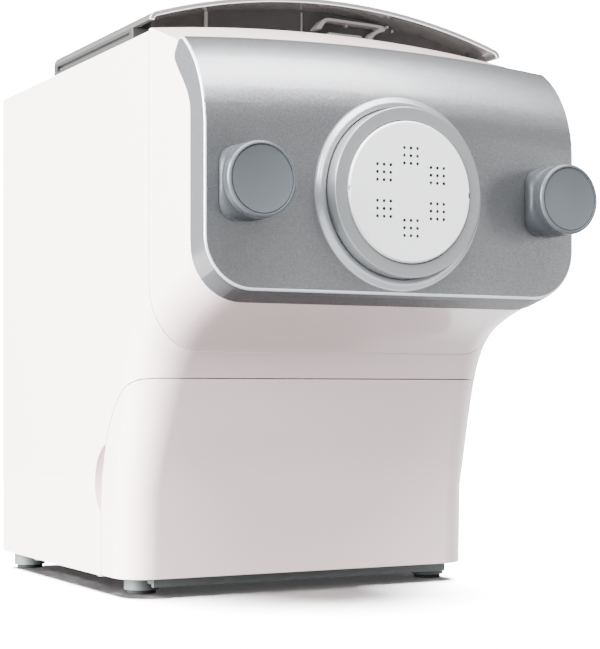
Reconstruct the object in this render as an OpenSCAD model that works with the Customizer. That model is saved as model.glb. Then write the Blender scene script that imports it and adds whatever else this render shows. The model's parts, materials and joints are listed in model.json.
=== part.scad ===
// Electric pasta maker: housing with a flared front, lift-off lid, pull-off front
// panel with two locking knobs, storage drawer, geared motor, paddle and auger.
// X to the right seen from the front, the front faces -Y, Z is up, millimetres.

/* [Body] */
// Width over the flat sides
body_w = 215; // [210:1:225]
// Distance of the rear wall from the middle of the machine
rear_y = 160; // [156:1:175]
// Height of the housing's lower edge above the table
base_z = 10; // [9:0.5:13]
// Height of the flat top deck
deck_z = 291; // [289:1:300]
// Wall of the white mouldings
wall = 3; // [2.5:0.25:3.5]
// Plane of the seam between housing and front frame, measured forward
seam_front = 70.5; // [68:0.5:73]
// Gap between mouldings at a seam
seam_gap = 0.5; // [0.4:0.1:0.8]
// Forward distance of the body's foot below the flare
foot_front = 40.5; // [38:0.5:43]
// Height at which the flare begins
flare_start_z = 55; // [50:1:60]
// Height at which the flare meets the front panel's rim
flare_end_z = 153; // [151:0.5:156]
// Radius of the vertical front corners at the foot
foot_corner_r = 18; // [14:1:22]
// Radius of the lower corners of the front frame
frame_corner_r = 28; // [26:1:32]
// Crown of the front frame's arched top
frame_crown_z = 298.6; // [296:0.2:302]
// Radius of the arch across the front frame's top
frame_arch_r = 880; // [700:10:1200]

/* [Front panel] */
// Forward distance of the panel's flat face
panel_front = 137; // [134:0.5:140]
// Forward distance of the rear edge of the panel's rim
panel_back = 121; // [119:0.5:123]
// Wall of the front panel
panel_wall = 2.5; // [2:0.25:3]
// Height by which the panel's underside rises from its rear edge to its front edge
panel_rise = 5.3; // [4:0.1:7]
// Radius over which the panel's face bends back at the top
panel_bend_r = 57; // [54:0.5:60]
// Height at which the face starts to bend back
panel_bend_z = 238; // [235:0.5:240]
// Crown of the panel's arched top edge
panel_crown_z = 285.7; // [284:0.1:288]
// Radius of the arch along the panel's top edge
panel_arch_r = 1230; // [900:10:1500]

/* [Outlet and knobs] */
// Height of the drive axis, the outlet and the knobs
axis_z = 207.8; // [205:0.1:210]
// Radius of the visible face of the shaping disc
disc_r = 35.2; // [33:0.1:36]
// Forward distance of the shaping disc's face
disc_front = 147.7; // [146.5:0.1:149]
// Width of the ring round the disc
ring_w = 7.25; // [6.5:0.05:8]
// Width of the bright bezel round the ring
bezel_w = 4.65; // [4:0.05:5.2]
// Distance of each knob's axis from the machine's side
knob_in = 19.3; // [18.8:0.1:24]
// Radius of a knob's round face
knob_r = 18.1; // [16:0.1:18.5]
// Forward distance of a knob's face
knob_front = 160; // [156:0.5:165]
// Width of a knob's foot
knob_foot_w = 24; // [20:0.5:28]
// Height of a knob's foot
knob_foot_h = 36; // [30:0.5:36]
// Radius of the locking studs
stud_r = 5; // [4:0.25:5.5]
// Pitch of the outlet holes in a group
hole_pitch = 3.8; // [3.4:0.1:4.2]
// Radius of one outlet hole
hole_r = 0.85; // [0.6:0.05:1.1]
// Radius of the circle on which the six groups lie
group_r = 17.9; // [16:0.1:19]

/* [Mixing] */
// Inner radius of the mixing chamber's round bottom
chamber_r = 58; // [54:0.5:59]
// Forward distance of the chamber's front face
chamber_front = 58.5; // [56:0.5:60]
// Distance back to the chamber's rear face
chamber_back = 60; // [56:0.5:60]
// Wall of the chamber
chamber_wall = 2.5; // [2:0.25:3]
// Inner radius of the extrusion tube
tube_r = 27; // [24:0.25:28]
// Wall of the extrusion tube
tube_wall = 3.5; // [3:0.25:4]
// Length of one turn of the auger
auger_pitch = 36; // [30:1:42]
// Radius of the drive shaft
shaft_r = 6; // [5:0.25:7]

/* [Lid] */
// Crown of the lid above the table
lid_crown_z = 318; // [316:0.5:324]
// Height of the middle of the lid's rolled edge above the deck
lid_edge_up = 6; // [4.5:0.1:7]
// Thickness of the lid sheet
lid_t = 2.5; // [2:0.25:3]
// Forward distance of the lid's front edge
lid_front = 71; // [66:0.5:73]
// Distance back to the lid's rear edge
lid_back = 69; // [64:0.5:75]

/* [Drawer] */
// Height of the drawer's top seam
drawer_z = 116; // [112:0.5:119]
// Forward distance of the drawer's side seam
drawer_side = 5.5; // [3:0.5:8]
// Height at which the side seam starts to bend forward
drawer_bend_z = 48; // [44:1:54]
// Distance of the drawer's tray from the machine's side
tray_in = 27.5; // [24:0.5:36]
// Height of the tray's rim
tray_z = 84; // [70:1:88]
// Distance back to the tray's rear wall
tray_back = 12; // [8:0.5:13]
// Wall of the tray
tray_wall = 2; // [1.5:0.25:2.5]
// Radius of the finger scoops beside the drawer
scoop_r = 22; // [19:0.5:24]

/* [Drive] */
// Module of the motor stage
fine_module = 1; // [1]
// Module of the output stage
coarse_module = 2; // [2]
// Teeth of both pinions
pinion_teeth = 18; // [18]
// Teeth of the large wheel of the motor stage
middle_teeth = 81; // [78:1:82]
// Teeth of the output wheel
output_teeth = 68; // [66:1:68]
// Radius of the motor's case
motor_r = 36; // [34:0.5:37]

/* [Hidden] */
$fn = 64;
hw = body_w / 2;
seam_y = -seam_front;
panel_y = -panel_front;
panel_back_y = -panel_back;
foot_y = -foot_front;
deck_in = deck_z - wall;
knob_x = hw - knob_in;
tray_half = hw - tray_in;
ring_r = disc_r + ring_w;
bezel_r = ring_r + bezel_w;
// Longer than any part of the machine, for cuts that run right through
through = 1000;

// Centre heights of the gear train, set by the teeth
output_pitch_r = coarse_module * output_teeth / 2;
coarse_pinion_r = coarse_module * pinion_teeth / 2;
middle_pitch_r = fine_module * middle_teeth / 2;
fine_pinion_r = fine_module * pinion_teeth / 2;
middle_z = axis_z - output_pitch_r - coarse_pinion_r;
motor_z = middle_z - middle_pitch_r - fine_pinion_r;

// ---- Helpers -------------------------------------------------------------

// Outline in Y and Z drawn out along X
module along_x(x0, x1) {
    translate([x0, 0, 0]) rotate([90, 0, 90]) linear_extrude(x1 - x0) children();
}

// Outline in X and Z drawn out along Y
module along_y(y0, y1) {
    translate([0, y1, 0]) rotate([90, 0, 0]) linear_extrude(y1 - y0) children();
}

// Cylinder along X
module rod_x(r, x0, x1, y = 0, z = 0) {
    translate([x0, y, z]) rotate([0, 90, 0]) cylinder(r = r, h = x1 - x0);
}

// Cylinder along Y
module rod_y(r, y0, y1, x = 0, z = axis_z) {
    translate([x, y1, z]) rotate([90, 0, 0]) cylinder(r = r, h = y1 - y0);
}

// Outline of [radius, y] points turned about an axis along Y
module turned_y(points, x = 0, z = axis_z) {
    translate([x, 0, z]) rotate([90, 0, 0])
        rotate_extrude() polygon([for (p = points) [p[0], -p[1]]]);
}

module block(x0, x1, y0, y1, z0, z1) {
    translate([x0, y0, z0]) cube([x1 - x0, y1 - y0, z1 - z0]);
}

module both_sides() {
    children();
    mirror([1, 0, 0]) children();
}

// Rectangle with round corners, centred
module round_rect(w, h, r) {
    square([w - 2 * r, h], center = true);
    square([w, h - 2 * r], center = true);
    for (x = [-1, 1], y = [-1, 1])
        translate([x * (w / 2 - r), y * (h / 2 - r)]) circle(r);
}

// Solid skinned over rings of points, each ring as long as the next
module skinned(rings) {
    m = len(rings[0]);
    last = len(rings) - 1;
    polyhedron([for (r = rings) each r], concat(
        [[for (k = [0 : m - 1]) k]],
        [for (i = [0 : last - 1], k = [0 : m - 1])
            each [[i * m + k, (i + 1) * m + k, (i + 1) * m + (k + 1) % m],
                  [i * m + k, (i + 1) * m + (k + 1) % m, i * m + (k + 1) % m]]],
        [[for (k = [m - 1 : -1 : 0]) last * m + k]]
    ));
}

function bezier(p, t) =
    (1 - t)^3 * p[0] + 3 * (1 - t)^2 * t * p[1] + 3 * (1 - t) * t^2 * p[2] + t^3 * p[3];

// ---- Form of the body ----------------------------------------------------

// Concave flare of the front, as [y, z]
flare = [
    [foot_y - 1.5, flare_start_z], [foot_y - 24, flare_end_z - 19],
    [foot_y - 22, flare_end_z - 18], [panel_back_y, flare_end_z]
];
flare_steps = 16;
flare_run_on = 0.16;
flare_exit = flare[3] + (flare[3] - flare[2]) * flare_run_on;

// Stations from the foot to the panel, each [y, z, corner radius]
stations = concat(
    [[foot_y, base_z - 5, foot_corner_r]],
    [for (i = [0 : flare_steps])
        let (t = i / flare_steps, p = bezier(flare, t))
        [p[0], p[1], frame_corner_r - (frame_corner_r - foot_corner_r) * (1 - t)^2]],
    [[flare_exit[0], flare_exit[1], frame_corner_r]]
);
last_station = len(stations) - 1;

function station_point(i) = [stations[i][0], stations[i][1]];
function heading(i) =
    let (d = station_point(min(i + 1, last_station)) - station_point(max(i - 1, 0))) d / norm(d);
function inward(i) = [heading(i)[1], -heading(i)[0]];
function inset_point(i, d) = station_point(i) + inward(i) * d;

// Side view of the body, moved inward by d
module body_profile(d) {
    polygon(concat(
        [for (i = [0 : last_station]) inset_point(i, d)],
        [[flare_exit[0], frame_crown_z + 5], [rear_y - d, frame_crown_z + 5],
         [rear_y - d, base_z - 5]]
    ));
}

// What lies outside the round edge between a flat side and the flare
corner_steps = 8;
function corner_ring(i, d) =
    let (p = station_point(i), n = inward(i), r = stations[i][2],
         at = function (x, e) [x, p[0] + n[0] * e, p[1] + n[1] * e])
    concat(
        [for (k = [0 : corner_steps]) let (a = 90 * k / corner_steps)
            at(hw - r + (r - d) * cos(a), r - (r - d) * sin(a))],
        [at(hw - r, -4), at(hw + 4, -4), at(hw + 4, r)]
    );

module corner_cut(d) skinned([for (i = [0 : last_station]) corner_ring(i, d)]);

// The whole body without its seams; inset by d it is the room inside
module body_form(d = 0) {
    difference() {
        along_x(-hw + d, hw - d) body_profile(d);
        both_sides() corner_cut(d);
    }
}

// Edge between panel and frame: straight below, swelling back and returning at the top
panel_top_y = panel_back_y + 11;
swell = [[panel_back_y, 243], [panel_back_y, 254], [panel_back_y + 12, 262],
         [panel_back_y + 18.5, 271.5]];
swell_return = [[panel_back_y + 18.5, 271.5], [panel_back_y + 19.5, 274.5],
                [panel_back_y + 15.5, 277.5], [panel_top_y + 0.5, panel_crown_z - 3.2]];
swell_steps = 8;
return_steps = 5;
function swell_points(shift) = [for (
    p = concat([for (i = [0 : swell_steps]) bezier(swell, i / swell_steps)],
               [for (i = [1 : return_steps]) bezier(swell_return, i / return_steps)],
               [[panel_top_y, panel_crown_z - 1], [panel_top_y, through]])) p + [shift, 0]];
module ahead_of_frame() {
    polygon(concat([[-through, 0], [panel_back_y, 0]], swell_points(0), [[-through, through]]));
}

// Room of the frame between that edge and the plane y1
module behind_edge(shift, y1) {
    polygon(concat([[y1, 0], [panel_back_y + shift, 0]], swell_points(shift), [[y1, through]]));
}

// Space below the frame's arched top, which falls towards the front
frame_top_y = -75;
module below_frame_top(d) {
    rod_y(frame_arch_r - d, -through, 0, z = frame_crown_z - frame_arch_r, $fn = 720);
}

module below_frame_slope(d) {
    run = frame_top_y - panel_top_y;
    fall = atan2(frame_crown_z - panel_crown_z, run);
    translate([0, frame_top_y, frame_crown_z]) rotate([fall, 0, 0])
        translate([0, 100, -frame_arch_r]) rotate([90, 0, 0])
            cylinder(r = frame_arch_r - d, h = 200, $fn = 720);
}

// Drawer cut in side view, grown by g
module drawer_profile(g) {
    depth = 51;
    cy = -drawer_side - depth;
    polygon(concat(
        [[-through, -5], [-drawer_side + g, -5]],
        [for (i = [0 : 12]) let (a = 90 * i / 12)
            [cy + (depth + g) * cos(a), drawer_bend_z + (drawer_z - drawer_bend_z + g) * sin(a)]],
        [[-through, drawer_z + g]]
    ));
}

// ---- Housing ---------------------------------------------------------------

deck_open_half = chamber_r + chamber_wall + 0.5;
fascia_y = 20;
fascia_z = 228;
fascia_h = 62;
fascia_t = 2.2;
button_r = 7;
button_pitch = 24;
button_z = fascia_z - 16;
button_ys = [for (i = [-1.5 : 1.5]) fascia_y + i * button_pitch];
fascia_w = 4 * button_pitch + 8;
window_half = 26;
window_z = [2, 18];
scoop_depth = 8;
scoop_y = -drawer_side - 13;
scoop_z = 60;
boss_r = 5;
boss_x = hw - 13.5;
boss_places = [[-boss_x, rear_y - 32], [boss_x, rear_y - 32], [-boss_x, 24], [boss_x, 24]];
board_x = hw - 14;
board_t = 1.6;
board_pins = [[fascia_y - 44, fascia_z - 24], [fascia_y + 44, fascia_z - 24],
              [fascia_y - 44, fascia_z + 24], [fascia_y + 44, fascia_z + 24]];
gland_x = hw - 37.5;
gland_z = 36;
gland_r = 8;
vent_xs = [for (i = [-5 : 5]) i * 9];
vent_z = axis_z + 10.2;
vent_len = 52;
power_x = [-58, 36];
power_z = [36, 98];
pin_in = 6;
power_pins = [for (x = [power_x[0] + pin_in, power_x[1] - pin_in],
                   z = [power_z[0] + pin_in, power_z[1] - pin_in]) [x, z]];
power_board_y = rear_y - wall - 6;

module main_housing() color("snow") {
    difference() {
        union() {
            difference() {
                intersection() {
                    body_form();
                    block(-hw - 1, hw + 1, seam_y + seam_gap / 2, rear_y + 1, base_z, deck_z);
                }
                intersection() {
                    body_form(wall);
                    block(-hw, hw, seam_y - 5, rear_y, base_z - 2, deck_in);
                }
                along_x(-hw - 1, hw + 1) drawer_profile(seam_gap / 2);
            }
            both_sides() scoop_cup();
            block(hw - wall - 3, hw - wall + 0.1, fascia_y - fascia_w / 2 - 3,
                  fascia_y + fascia_w / 2 + 3, fascia_z - fascia_h / 2 - 3,
                  fascia_z + fascia_h / 2 + 3);
            for (p = boss_places) {
                translate([p[0], p[1], base_z + 0.2]) cylinder(r = boss_r, h = 30);
                side = sign(p[0]);
                block(min(p[0], side * (hw - wall + 0.5)), max(p[0], side * (hw - wall + 0.5)),
                      p[1] - 1, p[1] + 1, base_z + 0.2, base_z + 30);
            }
            for (p = board_pins) rod_x(3, board_x + board_t, hw - wall - 2, p[0], p[1]);
            for (p = power_pins)
                rod_y(3, power_board_y + board_t, rear_y - wall + 0.1, x = p[0], z = p[1]);
        }
        block(-deck_open_half, deck_open_half, -chamber_front - 0.5, chamber_back + 0.5,
              deck_in - 1, deck_z + 1);
        block(-flange_half - 0.3, flange_half + 0.3, -chamber_front - flange_w - 0.3,
              chamber_back + flange_w + 0.3, deck_z - flange_t - 0.1, deck_z + 1);
        both_sides() scoop_hollow();
        fascia_recess();
        rod_y(gland_r, rear_y - wall - 1, rear_y + 1, x = gland_x, z = gland_z);
        for (x = vent_xs) along_y(rear_y - wall - 1, rear_y + 1)
            translate([x, vent_z]) round_rect(slot_w, vent_len, slot_end_r);
        for (p = boss_places)
            translate([p[0], p[1], base_z - 1]) cylinder(r = 1.6, h = 24);
    }
}

// Cup behind the finger scoop, cut off at the drawer's side seam
module scoop_cup() {
    intersection() {
        rod_x(scoop_r + wall, hw - wall - scoop_depth, hw - 1, scoop_y, scoop_z);
        block(0, hw, -drawer_side + seam_gap / 2, 60, 0, 150);
    }
}

module scoop_hollow() {
    rod_x(scoop_r, hw - scoop_depth, hw + 1, scoop_y, scoop_z);
}

module fascia_recess() {
    along_x(hw - fascia_t - 0.1, hw + 1) translate([fascia_y, fascia_z])
        round_rect(fascia_w + 0.6, fascia_h + 0.6, 8.3);
    for (y = button_ys) rod_x(button_r + 2, hw - wall - 4, hw, y, button_z);
    block(hw - wall - 4, hw, fascia_y - 30, fascia_y + 30, fascia_z, fascia_z + 20);
}

// Form of the frame; inset by d it is the room inside
module frame_solid(d, edge, y1) {
    difference() {
        intersection() {
            along_x(-hw + d, hw - d) intersection() {
                body_profile(d);
                behind_edge(edge, y1);
            }
            below_frame_top(d);
            below_frame_slope(d);
        }
        both_sides() corner_cut(d);
    }
}

module front_frame() color("snow") {
    difference() {
        frame_solid(0, seam_gap, seam_y - seam_gap / 2);
        frame_solid(wall, seam_gap + wall, seam_y + 5);
        rod_y(tube_r + tube_wall + 0.2, -130, -110);
        both_sides() rod_y(stud_r, -130, -110, x = knob_x);
    }
}

// ---- Base ------------------------------------------------------------------

plate_left = hw - 21.5;
plate_right = hw - 9;
plate_front = foot_y + 13.5;
plate_back = rear_y - 6;
plate_t = 4;
lip_low = 4.5;
ear_low = base_z - 2;
screw_head_z = ear_low - 1.5;
// Air slots under the drive and in the rear wall
slot_w = 4;
slot_end_r = 1.9;
slot_pitch = 12;
base_slots_y = 108;
base_slot_len = 44;
foot_block_r = 9.5;
pad_r = 7.8;
pad_t = 2.2;
foot_places = [[-hw + 22, foot_y + 31.5], [hw - 13.5, foot_y + 26],
               [-hw + 13.9, rear_y - 10.5], [hw - 13.9, rear_y - 10.5]];

module base_plate() color("slategray") {
    difference() {
        union() {
            block(-plate_left, plate_right, plate_front, plate_back, base_z - plate_t, base_z);
            block(-plate_left, plate_right, plate_front, plate_front + 3, lip_low, base_z);
            for (p = foot_places) {
                translate([p[0], p[1], pad_t]) cylinder(r = foot_block_r, h = base_z - pad_t - 0.5);
                plate_ear(p, 5, base_z - 0.5);
            }
            for (p = boss_places) {
                translate([p[0], p[1], ear_low]) cylinder(r = 6, h = base_z - ear_low);
                plate_ear(p, 6, base_z);
            }
            motor_saddle();
        }
        for (i = [-4 : 4]) translate([i * slot_pitch, base_slots_y, 0]) linear_extrude(base_z + 1)
            round_rect(slot_w, base_slot_len, slot_end_r);
        for (p = boss_places) translate([p[0], p[1], 0]) {
            cylinder(r = 2, h = base_z + 1);
            cylinder(r = 4.2, h = ear_low);
        }
    }
}

// Thin ear that ties a screw or a foot outside the plate to it
module plate_ear(p, half, top) {
    inner = sign(p[0]) * (plate_left - 6);
    block(min(p[0], inner), max(p[0], inner), p[1] - half, p[1] + half, ear_low, top);
}

// Saddle that carries the motor
saddle_half = 24;
saddle_len = 22;
module motor_saddle() {
    y0 = motor_front + 14;
    difference() {
        block(-saddle_half, saddle_half, y0, y0 + saddle_len, base_z - 1, motor_z - motor_r + 16);
        rod_y(motor_r + 0.3, y0 - 4, y0 + saddle_len + 4, z = motor_z);
    }
}

module rubber_feet() color("black") {
    for (p = foot_places) translate([p[0], p[1], 0]) cylinder(r = pad_r, h = pad_t);
}

module base_screws() color("silver") {
    for (p = boss_places) translate([p[0], p[1], 0]) {
        translate([0, 0, screw_head_z]) cylinder(r = 4, h = ear_low - screw_head_z);
        translate([0, 0, ear_low - 0.5]) cylinder(r = 1.55, h = 22);
    }
}

// ---- Drawer ----------------------------------------------------------------

bay_half = tray_half + 6;
bay_back = tray_back + 4.5;
bay_z = tray_z + 6;
bay_front = -28;

module drawer_bay() color("gainsboro") {
    difference() {
        block(-bay_half, bay_half, bay_front, bay_back, base_z, bay_z + 2);
        block(-bay_half + 2, bay_half - 2, bay_front - 1, bay_back - 2, base_z + 2, bay_z);
    }
}

module drawer_rails() color("silver") {
    both_sides() difference() {
        block(tray_half + 0.4, bay_half - 2, bay_front + 1, bay_back - 2.3, 40, 50);
        block(tray_half, tray_half + 2.6, bay_front - 2, bay_back, 43, 47);
    }
}

// Slice of the body's form, cut to the outline given; inset by d it is the room inside
module body_slice(d) {
    difference() {
        along_x(-hw + d, hw - d) intersection() {
            body_profile(d);
            children();
        }
        both_sides() corner_cut(d);
    }
}

module drawer_front() color("snow") {
    low = base_z + 0.3;
    ledge = drawer_z - seam_gap / 2 - wall;
    difference() {
        body_slice(0) intersection() {
            drawer_profile(-seam_gap / 2);
            translate([-150, low]) square([200, 150]);
        }
        body_slice(wall) polygon([
            [-150, low + wall], [bay_front - 2, low + wall], [bay_front - 2, 0],
            [5, 0], [5, ledge], [-150, ledge]
        ]);
    }
}

module drawer_tray() color("whitesmoke") {
    front = foot_y + wall + 0.3;
    difference() {
        block(-tray_half, tray_half, front, tray_back, base_z + 4, tray_z);
        block(-tray_half + tray_wall, tray_half - tray_wall, front + tray_wall,
              tray_back - tray_wall, base_z + 4 + tray_wall, tray_z + 1);
    }
    both_sides() block(tray_half - 0.5, tray_half + 2.2, -26, tray_back - 2, 43.4, 46.6);
}

// ---- Mixing chamber, tube and disc ------------------------------------------

chamber_y0 = -chamber_front;
chamber_out = chamber_r + chamber_wall;
seal_r = 12;
flange_t = 1.8;
flange_w = 4;
flange_half = chamber_out + 8;

module trough(r, y0, y1, top) {
    rod_y(r, y0, y1);
    block(-r, r, y0, y1, axis_z, top);
}

module mixing_chamber() color([0.75, 0.78, 0.8, 0.6]) {
    difference() {
        union() {
            trough(chamber_out, chamber_y0, chamber_back, deck_z);
            block(-flange_half, flange_half, chamber_y0 - flange_w, chamber_back + flange_w,
                  deck_z - flange_t, deck_z);
        }
        trough(chamber_r, chamber_y0 + chamber_wall, chamber_back - chamber_wall, deck_z + 10);
        rod_y(tube_r, chamber_y0 - 1, 0);
        rod_y(seal_r, 0, chamber_back + 1);
    }
}

tube_end = disc_front - 8.7;
tube_out = tube_r + tube_wall;
disc_flange_r = disc_r + 4.8;

module extrusion_tube() color("gainsboro") {
    turned_y([
        [tube_r, chamber_y0], [tube_out + 6, chamber_y0], [tube_out + 6, chamber_y0 - 3],
        [tube_out, chamber_y0 - 3], [tube_out, -tube_end + 3], [disc_flange_r, -tube_end + 3],
        [disc_flange_r, -tube_end], [tube_r, -tube_end]
    ]);
}

module shaping_disc() color("white") {
    face_y = -disc_front;
    difference() {
        turned_y([
            [0, face_y], [disc_r - 0.8, face_y], [disc_r, face_y + 0.8], [disc_r, face_y + 5.4],
            [disc_flange_r, face_y + 5.4], [disc_flange_r, -tube_end], [tube_r + 1, -tube_end],
            [tube_r + 1, face_y + 4], [0, face_y + 4]
        ]);
        for (g = [0 : 5]) {
            gx = group_r * cos(30 + 60 * g);
            gz = axis_z + group_r * sin(30 + 60 * g);
            for (i = [-1 : 1], j = [-1 : 1])
                rod_y(hole_r, face_y - 1, face_y + 5, gx + i * hole_pitch, gz + j * hole_pitch);
        }
        for (s = [-1, 1])
            block(s * disc_r - 1.2, s * disc_r + 1.2, face_y - 1, face_y + 2,
                  axis_z - 1.4, axis_z + 1.4);
    }
}

module shaft_seal() color("dimgray") {
    turned_y([
        [shaft_r + 0.05, chamber_back - chamber_wall], [seal_r, chamber_back - chamber_wall],
        [seal_r, chamber_back], [seal_r + 3, chamber_back], [seal_r + 3, chamber_back + 1.7],
        [shaft_r + 0.05, chamber_back + 1.7]
    ]);
}

paddle_hub_r = 11;
paddle_front = chamber_y0 + 5.5;
paddle_back = chamber_back - 6;
arm_reach = chamber_r - 3.5;
arm_ys = [for (i = [0 : 4]) paddle_front + 12 + i * 20];

module mixing_paddle() color("white") {
    difference() {
        union() {
            rod_y(paddle_hub_r, paddle_front, paddle_back);
            for (i = [0 : 4]) paddle_arm(arm_ys[i], 144 * i);
        }
        rod_y(shaft_r, 8, paddle_back + 1);
    }
}

// One stirring arm: a tapered blade set at a slant on the hub
module paddle_arm(y, turn) {
    translate([0, y, axis_z]) rotate([0, turn, 0]) rotate([0, 0, 25])
        rotate([90, 0, 0]) translate([0, 0, -2.5]) linear_extrude(5) {
            polygon([[-9, 6], [9, 6], [5, arm_reach - 5], [-5, arm_reach - 5]]);
            translate([0, arm_reach - 5]) circle(5);
        }
}

auger_back = paddle_front;
auger_front = tube_end - 2;
auger_core_r = 9;
auger_out_r = tube_r - 0.6;
flight_angle = 44;

module auger_screw() color("white") {
    length = auger_back + auger_front;
    turn = -360 * length / auger_pitch;
    translate([0, auger_back, axis_z]) rotate([90, 0, 0])
        linear_extrude(length, twist = turn, slices = round(abs(turn) / 18), segments = 0)
            polygon(concat(
                [for (i = [0 : 4]) let (a = -flight_angle / 2 + flight_angle * i / 4)
                    auger_out_r * [cos(a), sin(a)]],
                [for (i = [0 : 12]) let (a = 30 + 300 * i / 12) auger_core_r * [cos(a), sin(a)]]
            ));
}

module drive_shaft() color("silver") {
    rod_y(shaft_r, 10, cover_back);
}

// ---- Gearbox -----------------------------------------------------------------

case_front = 94;
case_wall = 4;
fine_y0 = case_front + case_wall + 2;
fine_y1 = fine_y0 + 8;
coarse_y0 = fine_y1 + 4;
coarse_y1 = coarse_y0 + 14;
cover_front = coarse_y1 + 4;
cover_back = cover_front + case_wall;
backlash = 0.3;
room = 3;
snout_front = chamber_back + 2;
snout_r = 18;
case_foot_half = 34;
bush_r = 10;

function inv(a) = tan(a) * 180 / PI - a;

// Points of one tooth: root, flank up, flank down, root
function tooth(m, n) =
    let (r = m * n / 2, rb = r * cos(20), ra = r + 0.9 * m, rf = r - 1.25 * m,
         half = 90 / n - backlash / 4 / r * 180 / PI,
         low = max(rb, rf),
         side = [for (k = [0 : 2]) let (q = low + (ra - low) * k / 2, a = acos(rb / q))
             [q, half + inv(20) - inv(a)]])
    concat([[rf, -side[0][1]]], [for (k = [0 : 2]) [side[k][0], -side[k][1]]],
           [for (k = [2 : -1 : 0]) side[k]], [[rf, side[0][1]]]);

// Outline of a spur gear with a tooth centred on the direction given
module gear_outline(m, n, direction) {
    points = tooth(m, n);
    polygon([for (i = [0 : n - 1], p = points)
        let (a = direction + 360 * i / n + p[1]) p[0] * [cos(a), sin(a)]]);
}

module output_gear() color("ivory") {
    difference() {
        translate([0, 0, axis_z]) along_y(coarse_y0, coarse_y1)
            gear_outline(coarse_module, output_teeth, -90);
        rod_y(shaft_r, coarse_y0 - 1, coarse_y1 + 1);
        for (i = [0 : 5]) rod_y(13, coarse_y0 - 1, coarse_y1 + 1,
            40 * cos(60 * i), axis_z + 40 * sin(60 * i));
    }
}

module reduction_gear() color("ivory") {
    difference() {
        union() {
            translate([0, 0, middle_z]) along_y(fine_y0, fine_y1)
                gear_outline(fine_module, middle_teeth, -90);
            translate([0, 0, middle_z]) along_y(fine_y1 - 0.1, coarse_y1 + 1)
                gear_outline(coarse_module, pinion_teeth, 90 + 180 / pinion_teeth);
        }
        rod_y(shaft_r - 0.95, fine_y0 - 1, cover_front, z = middle_z);
    }
}

module reduction_shaft() color("silver") {
    rod_y(shaft_r - 1, case_front, cover_back, z = middle_z);
}

// Outline of the three-lobed gearbox, grown by g
module gearbox_outline(g) {
    translate([0, axis_z]) circle(output_pitch_r + coarse_module + g);
    translate([0, middle_z]) circle(middle_pitch_r + fine_module + g);
    translate([0, motor_z]) circle(fine_pinion_r + fine_module + g);
}

module gearbox_case() color("lightslategray") {
    difference() {
        union() {
            along_y(case_front, cover_front) gearbox_outline(room + case_wall);
            along_y(case_front, case_front + case_wall)
                translate([0, motor_z]) circle(motor_r + 2);
            rod_y(snout_r, snout_front, case_front + 1);
            block(-case_foot_half, case_foot_half, case_front, case_front + 12, base_z,
                  motor_z - motor_r + 14);
        }
        along_y(case_front + case_wall, cover_front + 1) gearbox_outline(room);
        rod_y(bush_r, snout_front - 1, case_front + case_wall + 1);
        rod_y(shaft_r - 1, case_front - 1, case_front + case_wall + 1, z = middle_z);
        rod_y(fine_pinion_r + 3, case_front - 1, case_front + case_wall + 1, z = motor_z);
    }
}

module gearbox_cover() color("lightslategray") {
    difference() {
        along_y(cover_front, cover_back) gearbox_outline(room + case_wall);
        rod_y(bush_r, cover_front - 1, cover_back + 1);
        rod_y(shaft_r - 1, cover_front - 1, cover_back + 1, z = middle_z);
        for (a = cover_screw_angles) rod_y(1.6, cover_front - 1, cover_back + 1,
            screw_circle * cos(a), axis_z + screw_circle * sin(a));
    }
}

cover_screw_angles = [-20, 20, 60, 120, 160, 200];
screw_circle = output_pitch_r + coarse_module + room + 2;

module gearbox_screws() color("silver") {
    for (a = cover_screw_angles) {
        x = screw_circle * cos(a);
        z = axis_z + screw_circle * sin(a);
        rod_y(1.6, cover_front, cover_back, x, z);
        rod_y(3, cover_back, cover_back + 2, x, z);
    }
}

// Plain bearing rings of the output shaft
module gearbox_bushes() color("goldenrod") {
    for (y = [[snout_front, snout_front + 12], [case_front - 8, case_front + case_wall],
              [cover_front, cover_back]])
        turned_y([[shaft_r + 0.05, y[0]], [bush_r, y[0]], [bush_r, y[1]], [shaft_r + 0.05, y[1]]]);
}

// ---- Motor -------------------------------------------------------------------

motor_front = case_front - 54;
motor_wall = 2.5;
motor_in = motor_r - motor_wall;
motor_shaft_r = 4;
race_r = 9.5;
stator_y0 = motor_front + 11;
stator_y1 = stator_y0 + 28;
rotor_r = 18;

module motor_case() color("darkgray") {
    difference() {
        union() {
            rod_y(motor_r, motor_front, case_front - 4, z = motor_z);
            rod_y(motor_r + 2, case_front - 4, case_front, z = motor_z);
        }
        rod_y(motor_in, motor_front - 1, case_front - 5, z = motor_z);
        rod_y(race_r, case_front - 6, case_front + 1, z = motor_z);
        for (i = [0 : 7]) rotate_about_motor(45 * i + 22.5)
            block(-5, 5, case_front - 22, case_front - 10, motor_r - 6, motor_r + 4);
    }
}

module rotate_about_motor(a) {
    translate([0, 0, motor_z]) rotate([0, a, 0]) children();
}

module motor_end_cap() color("gray") {
    difference() {
        rod_y(motor_r, motor_front - 4, motor_front, z = motor_z);
        rod_y(race_r, motor_front - 5, motor_front + 1, z = motor_z);
        for (i = [0 : 5]) rotate_about_motor(60 * i)
            rod_y(6, motor_front - 5, motor_front + 1, z = motor_r - 14);
    }
}

module motor_bearings() color("silver") {
    for (y = [motor_front - 5, case_front - 5])
        turned_y([[motor_shaft_r + 0.05, y], [race_r, y], [race_r, y + 5],
                  [motor_shaft_r + 0.05, y + 5]], z = motor_z);
}

module stator_core() color("dimgray") {
    difference() {
        rod_y(motor_in, stator_y0, stator_y1, z = motor_z);
        rod_y(rotor_r + 0.6, stator_y0 - 1, stator_y1 + 1, z = motor_z);
        for (i = [0 : 11]) rotate_about_motor(30 * i)
            rod_y(2.6, stator_y0 - 1, stator_y1 + 1, z = rotor_r + 6);
    }
}

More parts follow.
